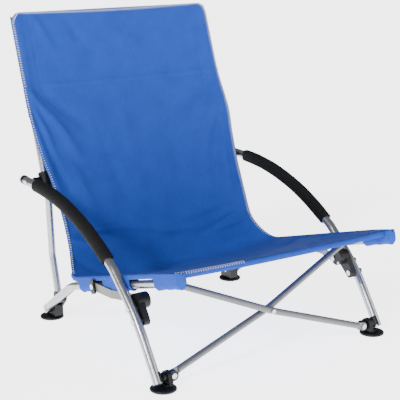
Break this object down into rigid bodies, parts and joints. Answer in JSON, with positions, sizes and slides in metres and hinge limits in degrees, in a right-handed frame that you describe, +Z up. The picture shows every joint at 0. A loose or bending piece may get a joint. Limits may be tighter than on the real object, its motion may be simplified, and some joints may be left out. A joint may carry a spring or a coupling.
{
  "type": "folding camp chair",
  "caption": "Low folding camp chair with a sling seat and back in blue canvas, foam-covered tube arms, scissor legs and round pivoting feet.",
  "frame": {"origin": "on the floor, under the middle of the open chair", "axes": "+X to the right as seen from the front, along the width; +Y to the back; +Z up; the sitter faces -Y"},
  "size_m": [0.5628, 0.6584, 0.6238],
  "materials": {
    "silver_tube": "satin silver powder coat",
    "grey_tube": "matt grey powder coat",
    "link_steel": "matt zinc-plated flat steel",
    "rivet_steel": "bright rivets",
    "black_nylon": "moulded black nylon, fine grain",
    "pad_rubber": "black rubber, satin",
    "grip_foam": "matt black closed-cell foam",
    "blue_canvas": "woven polyester canvas, light blue binding and white overlock stitching"
  },
  "bodies": {
    "rear_foot_l": {"rear_foot_pad_l": "pad_rubber", "rear_hub_l": "black_nylon", "rear_hub_rivets_l": "rivet_steel"},
    "rail_l": {"rail_tube_l": "silver_tube", "rail_cap_l": "black_nylon", "rail_clip_l": "black_nylon", "clip_rivet_l": "rivet_steel", "cross_saddle_l": "black_nylon", "seat_loops_l": "blue_canvas", "seat_cloth": "blue_canvas"},
    "upright_l": {"upright_tube_l": "silver_tube", "upright_plug_l": "black_nylon", "upright_cap_l": "black_nylon", "upper_back_cloth": "blue_canvas", "head_cloth": "blue_canvas"},
    "slider_l": {"slider_l": "black_nylon"},
    "leg_l": {"arm_tube_l": "silver_tube", "arm_grip_l": "grip_foam", "arm_end_cap_l": "black_nylon", "leg_boot_l": "black_nylon", "leg_gusset_l": "black_nylon", "side_link_l": "link_steel", "leg_rivets_l": "rivet_steel"},
    "front_foot_l": {"front_foot_pad_l": "pad_rubber", "front_hub_l": "black_nylon", "front_hub_rivets_l": "rivet_steel"},
    "rear_foot_r": {"rear_foot_pad_r": "pad_rubber", "rear_hub_r": "black_nylon", "rear_hub_rivets_r": "rivet_steel"},
    "rail_r": {"rail_tube_r": "silver_tube", "rail_cap_r": "black_nylon", "rail_clip_r": "black_nylon", "clip_rivet_r": "rivet_steel", "cross_saddle_r": "black_nylon", "seat_loops_r": "blue_canvas"},
    "upright_r": {"upright_tube_r": "silver_tube", "upright_plug_r": "black_nylon", "upright_cap_r": "black_nylon"},
    "slider_r": {"slider_r": "black_nylon"},
    "leg_r": {"arm_tube_r": "silver_tube", "arm_grip_r": "grip_foam", "arm_end_cap_r": "black_nylon", "leg_boot_r": "black_nylon", "leg_gusset_r": "black_nylon", "side_link_r": "link_steel", "leg_rivets_r": "rivet_steel"},
    "front_foot_r": {"front_foot_pad_r": "pad_rubber", "front_hub_r": "black_nylon", "front_hub_rivets_r": "rivet_steel"},
    "front_cross_a": {"front_cross_a": "grey_tube", "front_cross_a_rivet": "rivet_steel"},
    "front_cross_b": {"front_cross_b": "grey_tube", "front_cross_rivet": "rivet_steel"},
    "rear_cross_a": {"rear_cross_a": "grey_tube", "rear_cross_a_rivets": "rivet_steel"},
    "rear_cross_b": {"rear_cross_b": "grey_tube", "rear_cross_rivet": "rivet_steel"},
    "lower_back": {"lower_back_cloth": "blue_canvas"}
  },
  "joints": [
    {"name": "fold", "type": "hinge", "parent": "rear_foot_l", "child": "rail_l", "pos_m": [-0.2495, 0.19015, 0.022], "axis": [-1, 0, 0], "range_deg": [0, 54], "deforming": ["seat_cloth", "lower_back_cloth", "upper_back_cloth", "head_cloth", "seat_loops_l", "seat_loops_r"]},
    {"name": "upright_tilt_l", "type": "hinge", "parent": "rear_foot_l", "child": "upright_l", "pos_m": [-0.2335, 0.16015, 0.05], "axis": [1, 0, 0], "range_deg": [0, 15.22]},
    {"name": "slider_travel_l", "type": "slide", "parent": "upright_l", "child": "slider_l", "axis": [0, 0.3328, 0.943], "range_m": [0, 0.26911]},
    {"name": "leg_scissor_l", "type": "hinge", "parent": "rail_l", "child": "leg_l", "pos_m": [-0.261, -0.03885, 0.1347], "axis": [1, 0, 0], "range_deg": [0, 108]},
    {"name": "front_foot_pivot_l", "type": "hinge", "parent": "leg_l", "child": "front_foot_l", "pos_m": [-0.268, -0.26785, 0.022], "axis": [-1, 0, 0], "range_deg": [0, 54]},
    {"name": "front_cross_b_foot", "type": "hinge", "parent": "front_foot_l", "child": "front_cross_b", "pos_m": [-0.23, -0.25885, 0.02], "axis": [0, -1, 0], "range_deg": [0, 60.8]},
    {"name": "front_cross_middle", "type": "hinge", "parent": "front_cross_b", "child": "front_cross_a", "pos_m": [0, -0.25485, 0.097], "axis": [0, 1, 0], "range_deg": [0, 121.6]},
    {"name": "front_cross_a_foot", "type": "hinge", "parent": "front_cross_a", "child": "front_foot_r", "pos_m": [0.23, -0.27285, 0.02], "axis": [0, -1, 0], "range_deg": [0, 60.8]},
    {"name": "front_foot_pivot_r", "type": "hinge", "parent": "front_foot_r", "child": "leg_r", "pos_m": [0.268, -0.26785, 0.022], "axis": [1, 0, 0], "range_deg": [0, 54]},
    {"name": "leg_scissor_r", "type": "hinge", "parent": "leg_r", "child": "rail_r", "pos_m": [0.261, -0.03885, 0.1347], "axis": [-1, 0, 0], "range_deg": [0, 108]},
    {"name": "rail_heel_r", "type": "hinge", "parent": "rail_r", "child": "rear_foot_r", "pos_m": [0.2495, 0.19015, 0.022], "axis": [1, 0, 0], "range_deg": [0, 54]},
    {"name": "upright_tilt_r", "type": "hinge", "parent": "rear_foot_r", "child": "upright_r", "pos_m": [0.2335, 0.16015, 0.05], "axis": [1, 0, 0], "range_deg": [0, 15.22]},
    {"name": "slider_travel_r", "type": "slide", "parent": "upright_r", "child": "slider_r", "axis": [0, 0.3328, 0.943], "range_m": [0, 0.26911]},
    {"name": "rear_cross_b_foot", "type": "hinge", "parent": "rear_foot_l", "child": "rear_cross_b", "pos_m": [-0.211, 0.20265, 0.03], "axis": [0, -1, 0], "range_deg": [0, 52.71]},
    {"name": "rear_cross_middle", "type": "hinge", "parent": "rear_cross_b", "child": "rear_cross_a", "pos_m": [0, 0.19615, 0.158], "axis": [0, 1, 0], "range_deg": [0, 105.42]},
    {"name": "lower_back_hang", "type": "hinge", "parent": "upright_l", "child": "lower_back", "pos_m": [-0.2335, 0.24219, 0.4232], "axis": [1, 0, 0], "range_deg": [0, 28.75]}
  ],
  "couplings": [
    {"joint": "upright_tilt_l", "follows": "fold", "ratio": 0.28185},
    {"joint": "slider_travel_l", "follows": "fold", "m_per_rad": 0.28551},
    {"joint": "leg_scissor_l", "follows": "fold", "ratio": 2},
    {"joint": "front_foot_pivot_l", "follows": "fold", "ratio": 1},
    {"joint": "front_cross_b_foot", "follows": "fold", "ratio": 1.1259},
    {"joint": "front_cross_middle", "follows": "fold", "ratio": 2.2519},
    {"joint": "front_cross_a_foot", "follows": "fold", "ratio": 1.1259},
    {"joint": "front_foot_pivot_r", "follows": "fold", "ratio": 1},
    {"joint": "leg_scissor_r", "follows": "fold", "ratio": 2},
    {"joint": "rail_heel_r", "follows": "fold", "ratio": 1},
    {"joint": "upright_tilt_r", "follows": "fold", "ratio": 0.28185},
    {"joint": "slider_travel_r", "follows": "fold", "m_per_rad": 0.28551},
    {"joint": "rear_cross_b_foot", "follows": "fold", "ratio": 0.97611},
    {"joint": "rear_cross_middle", "follows": "fold", "ratio": 1.9522},
    {"joint": "lower_back_hang", "follows": "fold", "ratio": 0.53241}
  ]
}
